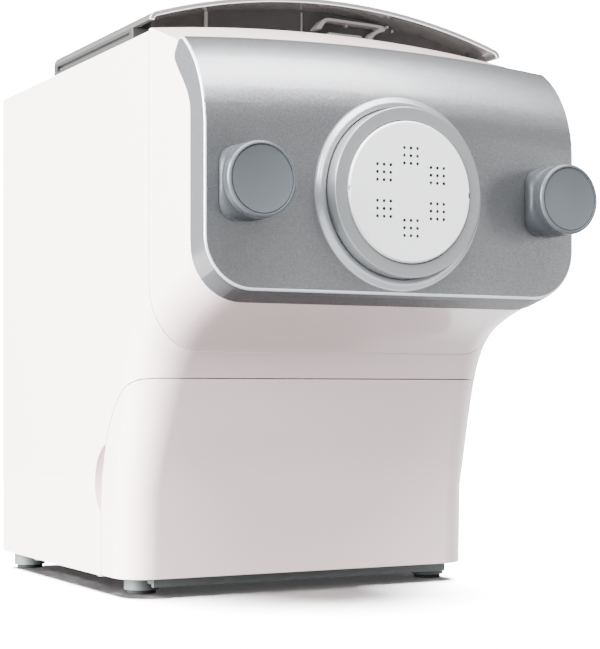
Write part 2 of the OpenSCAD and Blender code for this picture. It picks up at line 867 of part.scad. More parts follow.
module stator_windings() color("peru") {
    for (y = [stator_y0 - 6, stator_y1])
        turned_y([[rotor_r + 3, y], [rotor_r + 12, y], [rotor_r + 12, y + 6],
                  [rotor_r + 3, y + 6]], z = motor_z);
}

module rotor_core() color("silver") {
    turned_y([[motor_shaft_r, stator_y0], [rotor_r, stator_y0], [rotor_r, stator_y1],
              [motor_shaft_r, stator_y1]], z = motor_z);
}

module motor_shaft() color("silver") {
    rod_y(motor_shaft_r, motor_front - 16, fine_y1 + 1.5, z = motor_z);
}

module motor_pinion() color("gray") {
    difference() {
        translate([0, 0, motor_z]) along_y(fine_y0 - 0.5, fine_y1 + 0.5)
            gear_outline(fine_module, pinion_teeth, 90 + 180 / pinion_teeth);
        rod_y(motor_shaft_r, fine_y0 - 2, fine_y1 + 2, z = motor_z);
    }
}

module cooling_fan() color("black") {
    y0 = motor_front - 15;
    fan_r = motor_r - 7;
    hub_r = 8;
    depth = 9;
    difference() {
        union() {
            rod_y(hub_r, y0, y0 + depth, z = motor_z);
            rod_y(fan_r, y0, y0 + 1.5, z = motor_z);
            for (i = [0 : 8]) rotate_about_motor(40 * i)
                block(-0.8, 0.8, y0 + 0.7, y0 + depth - 1, hub_r - 2, fan_r - 0.5);
        }
        rod_y(motor_shaft_r, y0 - 1, y0 + depth + 1, z = motor_z);
    }
}

// ---- Front panel and knobs -----------------------------------------------------

panel_bottom_z = flare_end_z - 0.6;
bend_y = panel_y + panel_bend_r;
rim_y = panel_y + 3.3;

// Outlines of the panel from the back to the front, each [y, bottom, corner radius]
panel_stations = [
    [panel_back_y + 30, panel_bottom_z, frame_corner_r - 1],
    [panel_back_y, panel_bottom_z, frame_corner_r - 1],
    [rim_y, panel_bottom_z + panel_rise * 0.66, frame_corner_r - 1.5],
    [panel_y, panel_bottom_z + panel_rise, frame_corner_r - 2.5],
    [panel_y - 3.3, panel_bottom_z + panel_rise * 1.34, frame_corner_r - 3.5]
];
panel_steps = 12;

// What lies outside a round lower corner; inset by d it bounds the room inside
module panel_corner(d) {
    skinned([for (s = panel_stations)
        let (r = s[2] - d, xc = hw - d - r, zc = s[1] + d + r)
        concat(
            [for (k = [0 : panel_steps]) let (a = -90 * k / panel_steps)
                [xc + r * cos(a), s[0], zc + r * sin(a)]],
            [[xc, s[0], s[1] - 4], [hw + 4, s[0], s[1] - 4], [hw + 4, s[0], zc]]
        )]);
}

// Side view of the panel's face: straight, then bent back at the top
module panel_profile(d) {
    translate([panel_y + d, 0]) square([60, panel_bend_z]);
    intersection() {
        translate([bend_y, panel_bend_z]) circle(panel_bend_r - d, $fn = 128);
        translate([panel_y, panel_bend_z - 1]) square([60, 80]);
    }
}

// Half of the angle over which the face is swung about the axis of the panel's arch
swing = 7;

// Face and arched top of the panel
module panel_face(d) {
    arch_z = panel_crown_z - panel_arch_r;
    translate([0, 0, arch_z]) rotate([90, 0, 0]) rotate([0, 0, 90 - swing])
        rotate_extrude(angle = 2 * swing, $fn = 720) translate([-arch_z, 0]) rotate(-90)
            intersection() {
                panel_profile(d);
                translate([panel_y, 0]) square([60, panel_crown_z - d]);
            }
}

// Room above the panel's rising underside, in side view
module above_underside(d) {
    polygon(concat([for (s = panel_stations) [s[0], s[1] + d]],
                   [[panel_y - 3.3, through], [panel_back_y + 30, through]]));
}

// Height at which the flat lower part and the bent upper part of the panel join
panel_join_z = panel_bend_z - 12;

// Form of the panel within the side view given; inset by d it is the room inside
module panel_form(d) {
    difference() {
        along_x(-hw + d, hw - d) intersection() {
            above_underside(d);
            translate([panel_y + d, 0]) square([through, panel_join_z]);
            children();
        }
        both_sides() panel_corner(d);
    }
    intersection() {
        along_x(-hw + d, hw - d) intersection() {
            translate([panel_y - 2, panel_join_z]) square([through, through]);
            children();
        }
        panel_face(d);
    }
}

module front_panel() color("darkgray") {
    difference() {
        panel_form(0) ahead_of_frame();
        panel_form(panel_wall) translate([-through, 0]) square([through + panel_back_y + 28, through]);
        rod_y(ring_r, panel_y - 1, panel_y + 10);
        both_sides() rod_y(stud_r + 3.4, panel_y - 1, panel_y + 10, x = knob_x);
    }
}

ring_front = disc_front - 1.2;
ring_lip = disc_front - 5.4 + 0.4;

module outlet_ring() color("lightgray") {
    turned_y([
        [disc_r + 0.6, -ring_front], [ring_r - 0.8, -ring_front], [ring_r, -ring_front + 0.8],
        [ring_r, panel_y + panel_wall], [disc_flange_r + 0.4, panel_y + panel_wall],
        [disc_flange_r + 0.4, -ring_lip], [disc_r + 0.6, -ring_lip]
    ]);
}

// Half-round bead that covers the edge of the panel's opening
module ring_bezel() color("silver") {
    bead_r = (bezel_r - ring_r) / 2;
    translate([0, panel_y, axis_z]) rotate([90, 0, 0]) rotate_extrude()
        translate([ring_r + bead_r, 0]) intersection() {
            circle(bead_r);
            translate([-bead_r, 0]) square([2 * bead_r, bead_r]);
        }
}

stud_front = knob_front - 10;
bush_front = knob_front - 7;

module locking_studs() color("silver") {
    both_sides() {
        rod_y(stud_r, -stud_front, panel_back_y + 10, x = knob_x);
        rod_y(stud_r + 3, panel_back_y + seam_gap + wall, panel_back_y + 10, x = knob_x);
    }
}

module knob_body() {
    foot_y0 = panel_y - 0.4;
    cap_depth = 6.4;
    dish_depth = 1.6;
    dish_rim = knob_r - 1.5;
    dish_r = (dish_rim^2 + dish_depth^2) / (2 * dish_depth);
    difference() {
        hull() {
            translate([knob_x, 0, axis_z]) along_y(foot_y0 - 3, foot_y0)
                round_rect(knob_foot_w, knob_foot_h, 3, $fn = 32);
            rod_y(knob_r, -knob_front + 1.2, -knob_front + cap_depth, x = knob_x);
            rod_y(knob_r - 0.8, -knob_front, -knob_front + cap_depth, x = knob_x);
        }
        translate([knob_x, -knob_front + dish_depth - dish_r, axis_z]) sphere(dish_r, $fn = 128);
        rod_y(stud_r + 3, -bush_front, foot_y0 + 1, x = knob_x);
    }
}

module knob_right() color("lightslategray") knob_body();

module knob_left() color("lightslategray") mirror([1, 0, 0]) knob_body();

module knob_bush(x) {
    turned_y([
        [stud_r + 0.1, -bush_front], [stud_r + 3, -bush_front],
        [stud_r + 3, panel_y + panel_wall + 4], [stud_r + 0.1, panel_y + panel_wall + 4]
    ], x = x);
}

module knob_bush_right() color("silver") knob_bush(knob_x);

module knob_bush_left() color("silver") knob_bush(-knob_x);

// ---- Lid -----------------------------------------------------------------------

lid_half = hw - 0.5;
lid_roll_r = 5;
lid_foot_z = deck_z + 0.3;
skirt_front = 50;
skirt_back = 58;
skirt_half = lid_half - 10;
skirt_t = 2.5;
roll_x = lid_half - lid_roll_r;
roll_z = deck_z + lid_edge_up;
lid_rise = lid_crown_z - roll_z;
lid_arch_r = (roll_x^2 + lid_rise^2 - lid_roll_r^2) / (2 * (lid_rise - lid_roll_r));
lid_arch_z = lid_crown_z - lid_arch_r;

// Cross-section of the arched sheet with rolled-down ends
module lid_section() {
    difference() {
        intersection() {
            translate([0, lid_arch_z]) circle(lid_arch_r, $fn = 256);
            translate([-lid_half, roll_z]) square([2 * lid_half, through]);
            union() {
                translate([-roll_x, 0]) square([2 * roll_x, through]);
                for (s = [-1, 1]) translate([s * roll_x, roll_z]) circle(lid_roll_r);
            }
        }
        translate([0, lid_arch_z]) intersection() {
            circle(lid_arch_r - lid_t, $fn = 256);
            translate([-roll_x, 0]) square([2 * roll_x, through]);
        }
        for (s = [-1, 1]) translate([s * roll_x, roll_z]) circle(lid_roll_r - lid_t);
    }
}

// Slots through which water is poured in
slot_ys = [-26, -12, 2];

module lid_shell() color([0.55, 0.57, 0.6, 0.5]) {
    difference() {
        along_y(-lid_front, lid_back) lid_section();
        for (y = slot_ys) translate([0, y, deck_z]) linear_extrude(through)
            round_rect(46, 5, 2.4);
    }
}

module lid_skirt() color("dimgray") {
    difference() {
        intersection() {
            block(-skirt_half, skirt_half, -skirt_front, skirt_back, lid_foot_z, through);
            rod_y(lid_arch_r - lid_t, -through, through, z = lid_arch_z, $fn = 256);
        }
        block(-skirt_half + skirt_t, skirt_half - skirt_t, -skirt_front + skirt_t,
              skirt_back - skirt_t, 0, through);
    }
}

// Channel along each side, under the rolled edge of the sheet
module lid_rails() color("silver") {
    both_sides() difference() {
        block(skirt_half, lid_half, -skirt_front + 1.5, lid_back, lid_foot_z, roll_z);
        block(lid_half - 2, lid_half + 1, -skirt_front + 6, lid_back - 5, lid_foot_z + 1.4,
              roll_z - 1.6);
    }
}

catch_x0 = 2;
catch_x1 = catch_x0 + 44;
catch_drop = 12;
catch_z = lid_crown_z - catch_drop;

// Catch bracket on the front of the skirt
module lid_catch() color("gray") {
    difference() {
        block(catch_x0, catch_x1, -skirt_front - 7, -skirt_front, catch_z, catch_z + 6);
        block(catch_x0 + 7, catch_x1 - 7, -skirt_front - 5, -skirt_front + 1, catch_z - 1, catch_z + 4);
    }
    block(catch_x0 + 8, catch_x1 - 14, -skirt_front - 5, -skirt_front, catch_z - 6, catch_z - 1.5);
}

module lid_pins() color("silver") {
    for (p = [[catch_x0 + 12, catch_z + 2], [catch_x1 - 6, catch_z + 4], [catch_x1 - 3, catch_z + 2]])
        rod_y(0.8, -skirt_front - 9, -skirt_front - 7, p[0], p[1]);
}

// ---- Controls ------------------------------------------------------------------

module control_fascia() color("darkgray") {
    difference() {
        along_x(hw - fascia_t - 0.1, hw - 0.1) translate([fascia_y, fascia_z])
            round_rect(fascia_w, fascia_h, 8);
        for (y = button_ys) rod_x(button_r + 0.3, hw - fascia_t - 1, hw + 1, y, button_z);
        block(hw - fascia_t - 1, hw + 1, fascia_y - window_half, fascia_y + window_half,
              fascia_z + window_z[0], fascia_z + window_z[1]);
    }
}

module display_window() color("black") {
    block(hw - fascia_t - 0.1, hw - 0.3, fascia_y - window_half, fascia_y + window_half,
          fascia_z + window_z[0], fascia_z + window_z[1]);
}

module control_board() color("darkgreen") {
    front = board_x + board_t;
    block(board_x, front, fascia_y - 48, fascia_y + 48, fascia_z - 28, fascia_z + 28);
    for (y = button_ys) block(front, front + 3, y - 3, y + 3, button_z - 3, button_z + 3);
    block(front, hw - fascia_t - 0.4, fascia_y - window_half + 1, fascia_y + window_half - 1,
          fascia_z + window_z[0] + 1, fascia_z + window_z[1] - 1);
}

module push_button(i) {
    rod_x(button_r, board_x + 6.2, hw - 0.2, button_ys[i], button_z);
}

module power_button() color("whitesmoke") push_button(0);

module program_button() color("whitesmoke") push_button(1);

module quantity_button() color("whitesmoke") push_button(2);

module start_button() color("whitesmoke") push_button(3);

module power_board() color("darkgreen") {
    // Board, transformer, relay and two capacitors
    tall = power_board_y - 6;
    block(power_x[0], power_x[1], power_board_y, power_board_y + board_t, power_z[0], power_z[1]);
    block(power_x[0] + 8, power_x[0] + 38, tall, power_board_y, power_z[0] + 14, power_z[1] - 14);
    block(power_x[1] - 46, power_x[1] - 32, tall, power_board_y, power_z[0] + 8, power_z[0] + 34);
    for (x = [power_x[1] - 22, power_x[1] - 10])
        rod_y(5, tall, power_board_y, x = x, z = power_z[1] - 14);
}

module cord_gland() color("black") {
    turned_y([
        [3.5, rear_y - wall - 4], [gland_r - 1, rear_y - wall - 4], [gland_r - 1, rear_y - wall - 2],
        [gland_r + 2, rear_y - wall - 2], [gland_r + 2, rear_y - wall], [gland_r, rear_y - wall],
        [gland_r, rear_y - 0.5], [3.5, rear_y - 0.5]
    ], x = gland_x, z = gland_z);
}

// ---- Nodes ---------------------------------------------------------------------

main_housing();
front_frame();
base_plate();
rubber_feet();
drawer_bay();
drawer_rails();
drawer_front();
drawer_tray();
mixing_chamber();
extrusion_tube();
shaping_disc();
shaft_seal();
mixing_paddle();
auger_screw();
drive_shaft();
output_gear();
reduction_gear();
reduction_shaft();
gearbox_case();
gearbox_cover();
gearbox_bushes();
motor_case();
motor_end_cap();
motor_bearings();
stator_core();
stator_windings();
rotor_core();
motor_shaft();
motor_pinion();
cooling_fan();
front_panel();
outlet_ring();
ring_bezel();
locking_studs();
knob_left();
knob_right();
knob_bush_left();
knob_bush_right();
lid_shell();
lid_skirt();
lid_rails();
lid_catch();
lid_pins();
control_fascia();
display_window();
control_board();
power_board();
power_button();
program_button();
quantity_button();
start_button();
cord_gland();
base_screws();
gearbox_screws();
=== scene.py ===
"""Electric pasta maker: finishes and moulded detail over its solids, in studio light."""
import json
import math

import bpy
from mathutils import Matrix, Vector

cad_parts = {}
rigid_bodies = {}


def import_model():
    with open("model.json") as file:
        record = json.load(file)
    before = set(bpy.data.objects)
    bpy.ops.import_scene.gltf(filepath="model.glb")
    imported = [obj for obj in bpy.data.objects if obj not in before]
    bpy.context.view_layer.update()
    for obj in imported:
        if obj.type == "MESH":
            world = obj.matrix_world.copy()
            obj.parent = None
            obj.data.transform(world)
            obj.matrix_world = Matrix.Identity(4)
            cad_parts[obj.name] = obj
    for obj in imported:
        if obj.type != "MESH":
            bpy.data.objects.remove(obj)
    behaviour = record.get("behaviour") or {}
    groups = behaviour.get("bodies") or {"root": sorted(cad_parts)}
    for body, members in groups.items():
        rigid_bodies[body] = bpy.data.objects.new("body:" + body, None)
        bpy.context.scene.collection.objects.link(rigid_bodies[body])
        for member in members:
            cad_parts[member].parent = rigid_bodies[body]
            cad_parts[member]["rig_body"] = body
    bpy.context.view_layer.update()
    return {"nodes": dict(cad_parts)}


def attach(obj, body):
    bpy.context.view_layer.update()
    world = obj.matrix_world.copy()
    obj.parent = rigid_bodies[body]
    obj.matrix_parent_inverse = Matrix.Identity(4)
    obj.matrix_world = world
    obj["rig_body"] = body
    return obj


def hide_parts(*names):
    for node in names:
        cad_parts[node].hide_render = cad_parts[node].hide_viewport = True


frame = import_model()
cad_nodes = frame["nodes"]
MM = 0.001


def corners(node):
    """Lowest and highest corner of a solid in mm, to the hundredths that its sizes have."""
    places = [vertex.co / MM for vertex in cad_nodes[node].data.vertices]
    return ([round(min(place[i] for place in places), 2) for i in range(3)],
            [round(max(place[i] for place in places), 2) for i in range(3)])


# Places and radii of the solids, in millimetres, with the height of the axis in metres
ring_low, ring_high = corners("outlet_ring")
AXIS_Z = (ring_low[2] + ring_high[2]) / 2 * MM
RING_FACE = ring_low[1]
RING_R = ring_high[0]
knob_low, knob_high = corners("knob_right")
KNOB_X = (knob_low[0] + knob_high[0]) / 2
KNOB_R = (knob_high[0] - knob_low[0]) / 2
KNOB_FACE = knob_low[1]
KNOB_BACK = knob_high[1]
PANEL_FACE = corners("front_panel")[0][1]
SKIRT_FACE = corners("lid_skirt")[0][1]

# Radius of the disc's raised face, in mm
DISC_R = 35.2

# Facets of a full turn
ROUND_STEPS = 96

BACKDROP_STRENGTH = 24
ROOM_STRENGTH = 0.3
FLOOR_SIZE = 2.4
# The floor is bright to the camera, but less of its light reaches and mirrors in the object
FLOOR_WHITE = 0.92
FLOOR_MIRRORED = 0.065
FLOOR_BOUNCE = 0.021
# Lifts the floor's darkest shadow from black to a dark grey
FLOOR_GLOW = 0.05


# ---- Camera and lamps ---------------------------------------------------------

def place_camera():
    """A long lens at table height, to the left of the front."""
    data = bpy.data.cameras.new("studio_camera")
    data.sensor_width = 36
    data.lens = 94.2
    data.shift_y = 0.1039
    data.clip_start = 0.01
    data.clip_end = 50
    camera = bpy.data.objects.new("studio_camera", data)
    camera.location = (-0.44554, -0.86144, 0.10894)
    camera.rotation_euler = (math.radians(90), 0, math.radians(-28.23))
    bpy.context.scene.collection.objects.link(camera)
    bpy.context.scene.camera = camera


def soft_light(name, place, aim, width, height, power):
    """A softbox: place and aim in metres, its size in metres, its power in watts."""
    data = bpy.data.lights.new(name, "AREA")
    data.shape = "RECTANGLE"
    data.size = width
    data.size_y = height
    data.energy = power
    light = bpy.data.objects.new(name, data)
    light.location = place
    direction = Vector(aim) - Vector(place)
    light.rotation_euler = direction.to_track_quat("-Z", "Y").to_euler()
    bpy.context.scene.collection.objects.link(light)
    return light


# ---- Modelling with operators -------------------------------------------------

def deselect_all():
    """Leaves edit mode and selects nothing."""
    if bpy.context.mode != "OBJECT":
        bpy.ops.object.mode_set(mode="OBJECT")
    bpy.ops.object.select_all(action="DESELECT")


def pick(piece):
    """Makes the piece the only selected and the active one."""
    deselect_all()
    piece.select_set(True)
    bpy.context.view_layer.objects.active = piece


def settle(piece, name):
    """Gives the piece its name and puts its place into its mesh."""
    pick(piece)
    bpy.ops.object.transform_apply(location=True, rotation=True, scale=True)
    piece.name = name
    piece.data.name = name
    return piece


def start_point(place):
    """A single vertex to draw an outline from; leaves it selected in edit mode."""
    deselect_all()
    bpy.ops.mesh.primitive_plane_add(size=MM, location=(0, 0, 0))
    piece = bpy.context.object
    bpy.ops.object.mode_set(mode="EDIT")
    bpy.ops.mesh.select_mode(type="VERT")
    bpy.ops.mesh.select_all(action="SELECT")
    bpy.ops.mesh.merge(type="CENTER")
    bpy.ops.transform.translate(value=place)
    return piece


def draw_outline(points, closed=False):
    """Extrudes a vertex from point to point; the outline stays selected."""
    points = [Vector(p) for p in points]
    piece = start_point(points[0])
    for before, after in zip(points, points[1:]):
        bpy.ops.mesh.extrude_region_move(
            TRANSFORM_OT_translate={"value": after - before})
    bpy.ops.mesh.select_all(action="SELECT")
    if closed:
        bpy.ops.mesh.edge_face_add()
    return piece


def turned(name, profile):
    """Lathe work about the outlet's axis; the profile is a closed ring of (radius, y) in mm."""
    points = [(r * MM, y * MM, AXIS_Z) for r, y in (*profile, profile[0])]
    piece = draw_outline(points)
    bpy.ops.mesh.spin(steps=ROUND_STEPS, angle=2 * math.pi, center=(0, 0, AXIS_Z),
                      axis=(0, 1, 0))
    bpy.ops.mesh.select_all(action="SELECT")
    bpy.ops.mesh.remove_doubles(threshold=1e-6)
    bpy.ops.mesh.normals_make_consistent(inside=False)
    bpy.ops.object.mode_set(mode="OBJECT")
    return settle(piece, name)


def bevelled(piece, width, segments):
    """Rounds every sharp edge, with the width in mm."""
    pick(piece)
    rounding = piece.modifiers.new("rounding", "BEVEL")
    rounding.width = width * MM
    rounding.segments = segments
    rounding.limit_method = "ANGLE"
    rounding.angle_limit = math.radians(35)
    rounding.use_clamp_overlap = True
    rounding.miter_outer = "MITER_ARC"
    bpy.ops.object.modifier_apply(modifier=rounding.name)
    return piece


def round_edges(piece, edges, width, segments, finish_slot):
    """Rounds only the given edges, with the width in mm; the new faces take the finish slot."""
    for part in (*piece.data.vertices, *piece.data.edges, *piece.data.polygons):
        part.select = False
    for edge in edges:
        edge.select = True
    pick(piece)
    bpy.ops.object.mode_set(mode="EDIT")
    bpy.ops.mesh.select_mode(type="EDGE")
    bpy.ops.mesh.bevel(offset=width * MM, segments=segments, clamp_overlap=False,
                       material=finish_slot)
    bpy.ops.object.mode_set(mode="OBJECT")


def smoothed(piece, angle=32):
    """Smooth shading up to the angle, with large faces kept flat."""
    pick(piece)
    bpy.ops.object.shade_smooth_by_angle(angle=math.radians(angle), keep_sharp_edges=True)
    weighting = piece.modifiers.new("weighting", "WEIGHTED_NORMAL")
    weighting.keep_sharp = True
    weighting.weight = 60
    bpy.ops.object.modifier_apply(modifier=weighting.name)
    return piece


def merged_copy(node, name, flat=0.4):
    """A copy of a solid with its doubled corners merged and, where flat is set, its flat
    faces made whole; a ring-shaped flat face is left as it is."""
    source = cad_nodes[node]
    piece = bpy.data.objects.new(name, source.data.copy())
    piece.data.name = name
    bpy.context.scene.collection.objects.link(piece)
    pick(piece)
    bpy.ops.object.mode_set(mode="EDIT")
    bpy.ops.mesh.select_all(action="SELECT")
    bpy.ops.mesh.remove_doubles(threshold=2e-6)
    if flat:
        bpy.ops.mesh.dissolve_limited(angle_limit=math.radians(flat))
    bpy.ops.object.mode_set(mode="OBJECT")
    return piece


def bar(name, outline, y_front, y_back, rounding=0.25):
    """A bar with the front outline given as (x, z) in mm, drawn out from back to front."""
    piece = draw_outline([(x * MM, y_back * MM, z * MM) for x, z in outline], closed=True)
    bpy.ops.mesh.extrude_region_move(
        TRANSFORM_OT_translate={"value": (0, (y_front - y_back) * MM, 0)})
    bpy.ops.mesh.select_all(action="SELECT")
    bpy.ops.mesh.normals_make_consistent(inside=False)
    bpy.ops.object.mode_set(mode="OBJECT")
    return settle(smoothed(bevelled(piece, rounding, segments=2)), name)


def joined(name, first, *others):
    """One piece made of several that touch."""
    pick(first)
    for other in others:
        other.select_set(True)
    bpy.ops.object.join()
    return settle(first, name)


def second_finish(piece, material, chosen):
    """Gives the faces that the test chooses another finish."""
    piece.data.materials.append(material)
    for face in piece.data.polygons:
        if chosen(face):
            face.material_index = len(piece.data.materials) - 1


def put_in_place(piece, node):
    """The piece takes the solid's place on the solid's body."""
    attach(piece, cad_nodes[node]["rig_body"])
    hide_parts(node)
    return piece


def moulded(node, name, rounding, segments):
    """A moulding with rounded edges, made from a merged copy of its solid."""
    piece = bevelled(merged_copy(node, name), rounding, segments)
    return put_in_place(smoothed(piece), node)


# ---- Finishes ---------------------------------------------------------------

def new_group(name, inputs, outputs):
    """An empty shader group; inputs are {name: value}, outputs {name: kind}."""
    tree = bpy.data.node_groups.new(name, "ShaderNodeTree")
    for label, value in inputs.items():
        kind = "NodeSocketColor" if isinstance(value, tuple) else "NodeSocketFloat"
        socket = tree.interface.new_socket(label, in_out="INPUT", socket_type=kind)
        socket.default_value = value
    for label, kind in outputs.items():
        tree.interface.new_socket(label, in_out="OUTPUT", socket_type=f"NodeSocket{kind}")
    return tree, tree.nodes.new("NodeGroupInput"), tree.nodes.new("NodeGroupOutput")


def add(tree, kind, **settings):
    """A shader node of the kind, with its settings."""
    node = tree.nodes.new(f"ShaderNode{kind}")
    for label, value in settings.items():
        setattr(node, label, value)
    return node


def maths(tree, operation, first, second):
    """The result of a sum on two values or outputs."""
    node = add(tree, "Math", operation=operation)
    for socket, value in zip(node.inputs, (first, second)):
        if isinstance(value, (int, float)):
            socket.default_value = value
        else:
            tree.links.new(value, socket)
    return node.outputs[0]


def make_grain():
    """Fine mould grain and broad unevenness of a plastic or painted surface."""
    tree, given, result = new_group(
        "mould_grain",
        {"Grain Scale": 900.0, "Roughness": 0.3, "Spread": 0.08, "Tone": 0.03,
         "Colour": (0.8, 0.8, 0.8, 1)},
        {"Colour": "Color", "Roughness": "Float", "Height": "Float"})
    place = add(tree, "TexCoord")
    fine = add(tree, "TexNoise")
    fine.inputs["Detail"].default_value = 3
    broad = add(tree, "TexNoise")
    broad.inputs["Scale"].default_value = 14
    broad.inputs["Detail"].default_value = 4
    tree.links.new(place.outputs["Object"], fine.inputs["Vector"])
    tree.links.new(place.outputs["Object"], broad.inputs["Vector"])
    tree.links.new(given.outputs["Grain Scale"], fine.inputs["Scale"])
    both = maths(tree, "ADD", maths(tree, "MULTIPLY", fine.outputs["Fac"], 0.35),
                 maths(tree, "MULTIPLY", broad.outputs["Fac"], 0.65))
    centred = maths(tree, "SUBTRACT", both, 0.5)
    rough = maths(tree, "ADD", given.outputs["Roughness"],
                  maths(tree, "MULTIPLY", centred, given.outputs["Spread"]))
    tree.links.new(rough, result.inputs["Roughness"])
    tone = maths(tree, "ADD", 1.0, maths(tree, "MULTIPLY", centred, given.outputs["Tone"]))
    shade = add(tree, "HueSaturation")
    tree.links.new(given.outputs["Colour"], shade.inputs["Color"])
    tree.links.new(tone, shade.inputs["Value"])
    tree.links.new(shade.outputs["Color"], result.inputs["Colour"])
    tree.links.new(fine.outputs["Fac"], result.inputs["Height"])
    return tree


def make_flakes():
    """Metal flakes in a paint: each cell is tilted and toned on its own."""
    tree, given, result = new_group(
        "metal_flakes",
        {"Flake Scale": 3800.0, "Tilt": 0.25, "Contrast": 0.25, "Colour": (0.4, 0.4, 0.4, 1)},
        {"Colour": "Color", "Normal": "Vector"})
    place = add(tree, "TexCoord")
    cells = add(tree, "TexVoronoi")
    tree.links.new(place.outputs["Object"], cells.inputs["Vector"])
    tree.links.new(given.outputs["Flake Scale"], cells.inputs["Scale"])
    centre = add(tree, "VectorMath", operation="SUBTRACT")
    centre.inputs[1].default_value = (0.5, 0.5, 0.5)
    tree.links.new(cells.outputs["Color"], centre.inputs[0])
    tilt = add(tree, "VectorMath", operation="SCALE")
    tree.links.new(centre.outputs[0], tilt.inputs[0])
    tree.links.new(given.outputs["Tilt"], tilt.inputs["Scale"])
    surface = add(tree, "NewGeometry")
    leaning = add(tree, "VectorMath", operation="ADD")
    tree.links.new(surface.outputs["Normal"], leaning.inputs[0])
    tree.links.new(tilt.outputs[0], leaning.inputs[1])
    unit = add(tree, "VectorMath", operation="NORMALIZE")
    tree.links.new(leaning.outputs[0], unit.inputs[0])
    tree.links.new(unit.outputs[0], result.inputs["Normal"])
    parts = add(tree, "SeparateColor")
    tree.links.new(cells.outputs["Color"], parts.inputs["Color"])
    lift = maths(tree, "ADD", 1.0, maths(
        tree, "MULTIPLY", maths(tree, "SUBTRACT", parts.outputs[0], 0.5),
        given.outputs["Contrast"]))
    shade = add(tree, "HueSaturation")
    tree.links.new(given.outputs["Colour"], shade.inputs["Color"])
    tree.links.new(lift, shade.inputs["Value"])
    tree.links.new(shade.outputs["Color"], result.inputs["Colour"])
    return tree


GRAIN = make_grain()
FLAKES = make_flakes()


def linear(r, g, b):
    """Screen colour, 0 to 255, as linear light."""
    def one(c):
        c /= 255
        return c / 12.92 if c <= 0.04045 else ((c + 0.055) / 1.055) ** 2.4
    return (one(r), one(g), one(b), 1)


def plain_material(name):
    """A new material, its node tree and its shader."""
    material = bpy.data.materials.new(name)
    material.use_nodes = True
    tree = material.node_tree
    shader = tree.nodes["Principled BSDF"]
    return material, tree, shader


def plastic(name, colour, rough=0.3, spread=0.08, tone=0.05, grain=900, bump=0.02,
            coat=0.0, coat_rough=0.05, specular=0.5, metal=0.0, subsurface=0.0):
    """Moulded plastic or paint with its grain, sheen and slight unevenness."""
    material, tree, shader = plain_material(name)
    texture = add(tree, "Group")
    texture.node_tree = GRAIN
    texture.inputs["Grain Scale"].default_value = grain
    texture.inputs["Roughness"].default_value = rough
    texture.inputs["Spread"].default_value = spread
    texture.inputs["Tone"].default_value = tone
    texture.inputs["Colour"].default_value = colour
    relief = add(tree, "Bump")
    relief.inputs["Strength"].default_value = bump
    relief.inputs["Distance"].default_value = 0.2 * MM
    tree.links.new(texture.outputs["Colour"], shader.inputs["Base Color"])
    tree.links.new(texture.outputs["Roughness"], shader.inputs["Roughness"])
    tree.links.new(texture.outputs["Height"], relief.inputs["Height"])
    tree.links.new(relief.outputs["Normal"], shader.inputs["Normal"])
    shader.inputs["Coat Weight"].default_value = coat
    shader.inputs["Coat Roughness"].default_value = coat_rough
    shader.inputs["Specular IOR Level"].default_value = specular
    shader.inputs["Metallic"].default_value = metal
    shader.inputs["Subsurface Weight"].default_value = subsurface
    shader.inputs["Subsurface Scale"].default_value = 0.002
    return material


def flake_paint(name, colour, rough=0.38, metal=0.55, tilt=0.22, contrast=0.3, coat=0.35):
    """Silver paint: metal flakes under a clear coat."""
    material, tree, shader = plain_material(name)
    texture = add(tree, "Group")
    texture.node_tree = FLAKES
    texture.inputs["Tilt"].default_value = tilt
    texture.inputs["Contrast"].default_value = contrast
    texture.inputs["Colour"].default_value = colour
    tree.links.new(texture.outputs["Colour"], shader.inputs["Base Color"])
    tree.links.new(texture.outputs["Normal"], shader.inputs["Normal"])
    shader.inputs["Roughness"].default_value = rough
    shader.inputs["Metallic"].default_value = metal
    shader.inputs["Coat Weight"].default_value = coat
    shader.inputs["Coat Roughness"].default_value = 0.12
    return material


def smoky_clear(name, colour, alpha):
    """Tinted clear moulding, seen through as a thin sheet; denser where seen edge on."""
    material, tree, shader = plain_material(name)
    texture = add(tree, "Group")
    texture.node_tree = GRAIN
    texture.inputs["Roughness"].default_value = 0.08
    texture.inputs["Spread"].default_value = 0.06
    texture.inputs["Colour"].default_value = colour
    tree.links.new(texture.outputs["Colour"], shader.inputs["Base Color"])
    tree.links.new(texture.outputs["Roughness"], shader.inputs["Roughness"])
    rim = add(tree, "LayerWeight")
    rim.inputs["Blend"].default_value = 0.35
    span = add(tree, "MapRange")
    span.inputs["To Min"].default_value = alpha
    span.inputs["To Max"].default_value = min(1.0, alpha + 0.4)
    tree.links.new(rim.outputs["Facing"], span.inputs["Value"])
    tree.links.new(span.outputs["Result"], shader.inputs["Alpha"])
    shader.inputs["Specular IOR Level"].default_value = 0.6
    return material


WHITE = plastic("warm_white_gloss", linear(250, 228, 228), rough=0.3, spread=0.06,
                tone=0.012, grain=1400, bump=0.006, coat=0.6, coat_rough=0.03)
TRAY = plastic("tray_white", linear(232, 232, 230), rough=0.42, tone=0.02)
SILVER = flake_paint("sparkle_silver_paint", linear(130, 131, 134), rough=0.36, metal=0.85,
                     tilt=0.12, contrast=0.4)
# Painted highlight: a lighter silver on the panel's bevelled front edge stands in for the bright
# line that light draws there
PAINTED_EDGE_HIGHLIGHT = plastic("silver_painted_edge_highlight", linear(218, 221, 226), rough=0.3, metal=0.3, tone=0.01)
# Painted shade: two darker copies of the silver paint, for the panel rim's faces that look down
PAINTED_UNDER_SHADE = flake_paint("silver_paint_painted_under_shade", linear(38, 39, 43), rough=0.5, metal=0.1,
                        coat=0.0)
PAINTED_TURN_SHADE = flake_paint("silver_paint_painted_turn_shade", linear(84, 86, 90), rough=0.42, metal=0.6,
                         tilt=0.1, contrast=0.2, coat=0.0)
BEAD = flake_paint("bead_silver_paint", linear(162, 164, 168), rough=0.38, metal=0.6,
                   tilt=0.1, contrast=0.12, coat=0.3)
